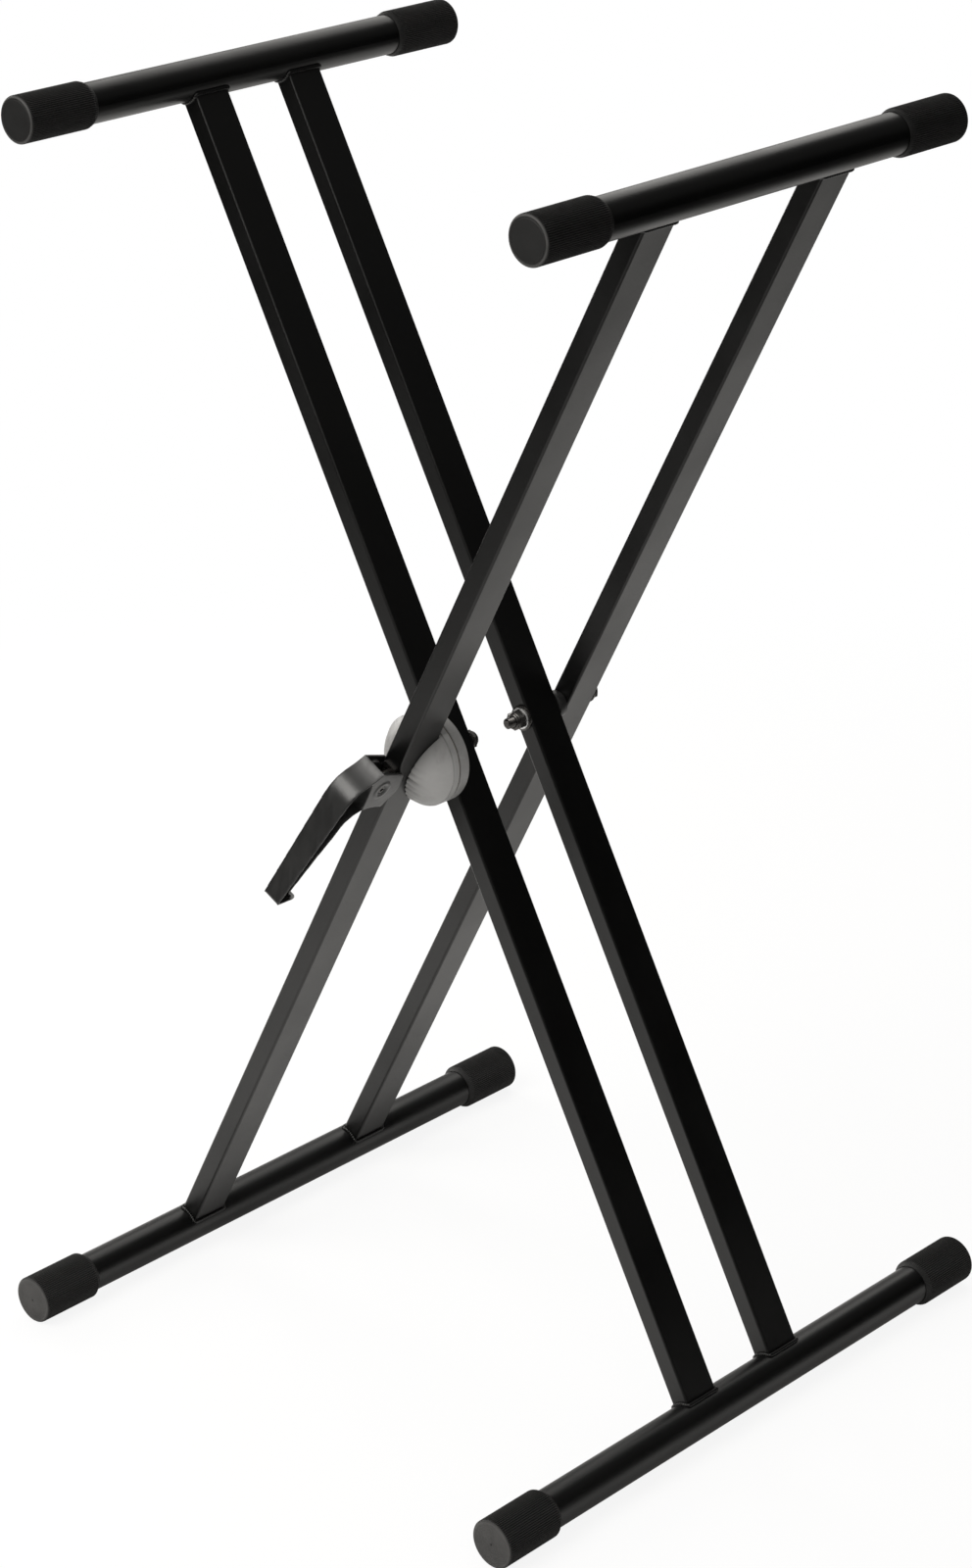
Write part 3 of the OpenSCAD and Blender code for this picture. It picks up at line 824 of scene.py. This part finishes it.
def pin_rings():
    """Raised rings on the lever's ears, around the ends of its pin."""
    inside, outside, rise = 4.8 * MM, 7.2 * MM, 0.6 * MM
    face = local_box("clutch_lever", OUTER)[1].x
    place = OUTER @ Matrix.Translation((0, pin_y, 0)) @ Matrix.Rotation(math.pi / 2, 4, "Z")
    profile = [(inside, face - rise), (outside, face - rise), (outside, face + rise),
               (inside, face + rise)]
    rings = []
    for side in (-1, 1):
        loops = [[Vector((p.x, side * p.y, p.z)) for p in loop] for loop in lathe(profile, 64)]
        points, faces = skin(loops, ring=True)
        rings.append(([place @ point for point in points], faces))
    return rings


def make_lever():
    """The lever with soft bends, and a painted sheen on the back of its head."""
    # Strength of the painted sheen on the head and on its crown
    head_sheen, crown_sheen = 0.36, 0.8
    fully_back = 1 / 1.6
    obj = soft_copy("lever_body", "clutch_lever", pin_rings(), OUTER, 7, bends=Vector((0, -1, 0)))
    turn = INTO_OUTER.to_3x3()

    def wear_and_painted_light(vertex):
        height = (INTO_OUTER @ vertex.co).z
        back = ramp(-(turn @ vertex.normal).y, 0, fully_back)
        head = ramp(height, 2 * MM, 8 * MM)
        crown = ramp(height, 9 * MM, 13 * MM)
        return back * min(head_sheen * head + crown_sheen * crown, 1)

    add_wear_and_painted_light(obj.data, wear_and_painted_light)
    slot = "black_lever_plastic"
    dress(obj, looks[slot], ["clutch_lever"], slot, sharp=50)


def make_lever_pin():
    """A rolled spring pin with its slot open along its length."""
    low, high = local_box("lever_pin", OUTER)
    r, bore = 3.0 * MM, 1.6 * MM
    end_length, end_shrink = 0.4 * MM, 0.93
    slot_angle = math.radians(28)
    steps = 40
    outline = []
    for radius, order in ((r, 1), (bore, -1)):
        arc = [slot_angle / 2 + (TURN - slot_angle) * i / steps for i in range(steps + 1)]
        outline.extend(Vector((radius * math.cos(a), radius * math.sin(a))) for a in arc[::order])
    loops = []
    for x, shrink in ((low.x, end_shrink), (low.x + end_length, 1), (high.x - end_length, 1),
                      (high.x, end_shrink)):
        loops.append([Vector((x, p.x * shrink, p.y * shrink)) for p in outline])
    points, faces = skin(loops)
    count = len(outline)
    for start in (0, 3 * count):
        for i in range(steps):
            outside, inside = start + i, start + count - 1 - i
            faces.append([outside, outside + 1, inside - 1, inside])
    place = OUTER @ Matrix.Translation((0, pin_y, 0))
    make_piece("spring_pin", (points, faces), place, ["lever_pin"], "black_fastener_steel")


# Fasteners

# Hexagons across their flats, radius of a bolt, and pitch and depth of its thread
HEX_AF = 13 * MM
BOLT_R = 4 * MM
THREAD_PITCH = 1.25 * MM
THREAD_DEPTH = 0.7 * MM


def hex_radius(angle):
    """Distance to a hexagon's side at an angle, with a flat towards angle 0."""
    sixth = TURN / 6
    return HEX_AF / 2 / math.cos((angle + sixth / 2) % sixth - sixth / 2)


def hex_loops(y0, y1, top=()):
    """Loops of a hexagon block from y0 to y1 with chamfered corners, and then of its top."""
    segments = 96
    cone_r = HEX_AF / 2 * 0.97
    slope = math.tan(math.radians(28))
    sign = 1 if y1 > y0 else -1
    low, high = [], []
    for i in range(segments):
        angle = TURN * i / segments
        r = hex_radius(angle)
        drop = max(0.0, r - cone_r) * slope * sign
        x, z = r * math.sin(angle), r * math.cos(angle)
        low.append(Vector((x, y0 + drop, z)))
        high.append(Vector((x, y1 - drop, z)))
    loops = lathe([(0, y0), (cone_r, y0)], segments)
    loops.extend([low, high])
    loops.extend(lathe([(cone_r, y1), *top], segments))
    return loops


def thread_radius(r, y, angle):
    """A helical V thread."""
    phase = (y / THREAD_PITCH - angle / TURN) % 1
    return r - THREAD_DEPTH * abs(2 * phase - 1)


def dome_profile(base_r, y0, height):
    """Profile of a dome from its rim up to its pole."""
    steps = 8
    angles = [i / steps * math.pi / 2 for i in range(steps)]
    return [(base_r * math.cos(a), y0 + height * math.sin(a)) for a in angles] + [(0, y0 + height)]


def domed_hex(y0, hex_top, dome_r, top_y):
    """A hexagon block from y0 to hex_top with a dome up to top_y."""
    return skin(hex_loops(y0, hex_top, dome_profile(dome_r, hex_top, top_y - hex_top)))


def make_front_nut():
    """A domed nut."""
    hex_h = 3.6 * MM
    low, high = local_box("front_nut", OUTER)
    part = domed_hex(low.y, low.y + hex_h, HEX_AF / 2 - 0.4 * MM, high.y)
    make_piece("domed_nut", part, OUTER, ["front_nut"], "black_fastener_steel", sharp=30)


def make_rear_bolt():
    """Hexagon head, plain shank and a threaded end past the nut."""
    head_h, crown_h, thread_length = 5.3 * MM, 1 * MM, 22 * MM
    runout_length, runout_share = 1.2 * MM, 0.14
    steps = 260
    low, high = local_box("rear_bolt", OUTER)
    head_y = high.y - head_h
    head = domed_hex(head_y, high.y - crown_h, HEX_AF / 2 - 0.6 * MM, high.y)
    thread_end = low.y + thread_length

    def radius(r, y, angle):
        if r <= BOLT_R - 0.5 * MM or y >= thread_end:
            return r
        runout = min(1.0, (y - low.y) / runout_length)
        return thread_radius(r, y, angle) * (1 - runout_share + runout_share * runout)

    shank = [(0, low.y), (2.4 * MM, low.y), (3.1 * MM, low.y + 0.5 * MM)]
    shank.extend((BOLT_R, low.y + 0.6 * MM + thread_length * i / steps) for i in range(steps))
    shank.extend([(BOLT_R, thread_end + 0.8 * MM), (BOLT_R, head_y + MM), (0, head_y + MM)])
    rod = skin(lathe(shank, 48, radius))
    make_piece("hex_bolt", joined(head, rod), OUTER, ["rear_bolt"], "black_fastener_steel",
               sharp=35)


def make_lock_nut():
    """A lock nut: hexagon with a rolled collar that holds its nylon ring."""
    low, high = local_box("rear_lock_nut", OUTER)
    collar = (high.y - low.y) / 4
    r = HEX_AF / 2 - 0.5 * MM
    rolled = ((r - 0.1 * MM, 0.7), (r - 0.7 * MM, 0.1), (r - 1.2 * MM, 0),
              (BOLT_R + 0.1 * MM, 0.2), (BOLT_R, 1.2), (0, 1.2))
    top = [(r, low.y + collar * 0.8)] + [(out, low.y + depth * MM) for out, depth in rolled]
    part = skin(hex_loops(high.y, low.y + collar, top))
    make_piece("collar_nut", part, OUTER, ["rear_lock_nut"], "black_fastener_steel", sharp=30)


def washer(node, place, c):
    """A flat ring of a packed washer's size, with its outer edges rounded off by c."""
    low, high = local_box(node, place)
    r = (high.z - low.z) / 2
    loops = lathe([(BOLT_BORE, low.y), (r - c, low.y), (r - 0.3 * c, low.y + 0.3 * c),
                   (r, low.y + c), (r, high.y - c), (r - 0.3 * c, high.y - 0.3 * c),
                   (r - c, high.y), (BOLT_BORE, high.y)], 96)
    return skin(loops, ring=True)


def make_washers():
    """Four flat washers and the spacer between the rear legs."""
    edge, spacer_edge = 0.25 * MM, 0.6 * MM
    for node, place, slot in (
            ("front_washer", INNER, "black_fastener_steel"),
            ("rear_wide_washer", INNER, "black_fastener_steel"),
            ("rear_bright_washer", INNER, "zinc_steel"),
            ("rear_head_washer", OUTER, "black_fastener_steel")):
        make_piece("flat_" + node, washer(node, place, edge), place, [node], slot)
    make_piece("turned_spacer", washer("rear_spacer", OUTER, spacer_edge), OUTER, ["rear_spacer"],
               "black_nylon")


# Studio

# Faint warmth of all the light that falls on the object
WARM = (1.0, 0.98, 0.945)
WHITE = (1, 1, 1)


def make_world():
    """White wherever it is seen or mirrored, and a dimmer even light on the object."""
    fill = 0.42
    world = bpy.data.worlds.new("studio")
    bpy.context.scene.world = world
    tree = emptied_tree(world)
    path = tree.node("ShaderNodeLightPath")
    seen = tree.larger(path.outputs["Is Camera Ray"], path.outputs["Is Glossy Ray"])
    seen = tree.larger(seen, path.outputs["Is Transmission Ray"])
    strength = tree.math("MULTIPLY_ADD", seen, 1 - fill, fill)
    colour = tree.mix(seen, WARM, WHITE)
    tree.output("ShaderNodeOutputWorld",
                tree.node("ShaderNodeBackground", Color=colour, Strength=strength))


def softbox(name, place, target, size, watts):
    """A square soft light that looks at a target."""
    light = bpy.data.lights.new(name, "AREA")
    light.shape = "SQUARE"
    light.size = size
    light.energy = watts
    light.color = WARM
    obj = bpy.data.objects.new(name, light)
    bpy.context.scene.collection.objects.link(obj)
    obj.location = place
    obj.rotation_euler = (Vector(target) - Vector(place)).to_track_quat("-Z", "Y").to_euler()
    obj.visible_camera = False


def floor_paper():
    """White paper that keeps the stand's shadow.

    In reflections it carries painted light: a painted glow around a spot behind the middle,
    painted contact shadows close to the foot bars, and painted shade that goes black far out
    and past the right foot bar.
    """
    shade = 0.12
    bar_end = 0.26
    darkest = 0.94
    bright_spot = (0, 0.35, 0)
    material = bpy.data.materials.new("floor_white")
    tree = emptied_tree(material)
    path = tree.node("ShaderNodeLightPath")
    shown = tree.larger(path.outputs["Is Camera Ray"], path.outputs["Is Transmission Ray"])
    mirrored = path.outputs["Is Glossy Ray"]
    x, y, _ = tree.along()
    from_middle = tree.distance((0, 0, 0))
    from_spot = tree.distance(bright_spot)
    foot_x = abs(middle("foot_bar_inner").x)
    from_bar = tree.size_of(tree.math("SUBTRACT", tree.size_of(x), foot_x))
    past_bar = tree.math("SUBTRACT", tree.size_of(y), bar_end)
    # Painted contact shadow in reflections, in strips beside the foot bars
    painted_contact_shadow = tree.times(tree.spread(from_bar, 0.02, 0.065, start=0.62, end=0.0),
                         tree.spread(past_bar, 0.0, 0.1, start=1.0, end=0.0))
    # Painted shade in reflections, black far out and past the right foot bar
    painted_far_shade = tree.larger(tree.spread(from_spot, 0.6, 2.3, end=darkest),
                          tree.spread(x, 0.3, 0.8, end=darkest))
    sheet = tree.mix(tree.larger(painted_far_shade, painted_contact_shadow), grey(0.97), grey(0))
    paper = tree.mix(shown, grey(0.95), grey(0.99))
    matte = tree.node("ShaderNodeBsdfDiffuse", Color=tree.mix(mirrored, paper, sheet))
    white = tree.node("ShaderNodeEmission", Color=tree.mix(shown, WARM, WHITE))
    lit = tree.times(shown, tree.spread(from_middle, 0.9, 1.6, start=1 - shade, end=1.0))
    # Painted glow in reflections around a spot behind the middle
    glow = tree.times(tree.spread(from_spot, 0.8, 1.9, start=0.4, end=0.0),
                      tree.spread(x, 0.15, 0.6, start=1.0, end=0.0))
    glow = tree.times(glow, tree.math("SUBTRACT", 1.0, painted_contact_shadow))
    share = tree.math("ADD", lit, tree.times(mirrored, glow))
    mixed = tree.node("ShaderNodeMixShader", Fac=share)
    tree.put(mixed.inputs[1], matte.outputs[0])
    tree.put(mixed.inputs[2], white.outputs[0])
    tree.output("ShaderNodeOutputMaterial", mixed)
    return material


def make_floor():
    """A round white floor."""
    bpy.ops.mesh.primitive_circle_add(vertices=96, radius=6.0, fill_type="NGON")
    floor = bpy.context.object
    floor.name = "floor"
    floor.data.materials.append(floor_paper())


def tent_cloth(radius):
    """Cloth that glows as painted reflection light, brighter high up and in a band at the back
    left.
    """
    to_back_left = (-0.64, 0.77)
    band_strength = 0.35
    material = bpy.data.materials.new("tent_dark")
    tree = emptied_tree(material)
    x, y, z = tree.along()
    dusk = tree.spread(z, 1.2, 2.0, start=0.004, end=0.09)
    towards = tree.math("ADD", tree.times(x, to_back_left[0] / radius),
                        tree.times(y, to_back_left[1] / radius))
    # Painted bright band, seen only in reflections, low down at the back left
    band = tree.times(tree.spread(towards, 0.7, 0.95), tree.spread(z, 2.0, 1.4))
    strength = tree.math("ADD", dusk, tree.times(band, band_strength))
    tree.output("ShaderNodeOutputMaterial",
                tree.node("ShaderNodeEmission", Color=(*WARM, 1), Strength=strength))
    return material


def make_tent():
    """A dark tent around the stand, met only by reflections, so that black faces stay black."""
    radius, height = 2.7, 3.2
    above_floor = 0.02
    shoulder = 0.7
    steps = 64
    profile = [(radius, above_floor), (radius, height * shoulder), (radius * shoulder, height),
               (0, height)]
    angles = [TURN * i / steps for i in range(steps)]
    loops = [[Vector((r * math.cos(a), r * math.sin(a), z)) for a in angles] if r
             else [Vector((0, 0, z))] for r, z in profile]
    points, faces = skin(loops)
    mesh = bpy.data.meshes.new("dark_tent")
    mesh.from_pydata(points, [], faces)
    mesh.materials.append(tent_cloth(radius))
    tent = bpy.data.objects.new("dark_tent", mesh)
    bpy.context.scene.collection.objects.link(tent)
    tent.visible_camera = False
    tent.visible_diffuse = False
    tent.visible_transmission = False
    tent.visible_shadow = False
    tent.visible_volume_scatter = False


def make_studio():
    """World, floor, tent and four soft lights."""
    make_world()
    make_floor()
    make_tent()
    waist = (0, 0, 0.5)
    chest = (0, 0, 0.9)
    softbox("key_light", (-0.34, -1.75, 2.1), waist, size=1.65, watts=42)
    softbox("left_light", (-2.2, 0.3, 1.1), waist, size=1.0, watts=20)
    softbox("back_light", (-0.95, 1.4, 1.95), chest, size=1.5, watts=11)
    softbox("front_light", (1.5, -2.0, 1.75), waist, size=0.7, watts=2)


make_camera()
make_studio()
dress_packed_nodes()
make_caps()
make_welds()
make_outer_housing()
make_inner_housing()
make_lever()
make_lever_pin()
make_front_nut()
make_rear_bolt()
make_lock_nut()
make_washers()

bpy.context.scene.view_settings.view_transform = "Standard"
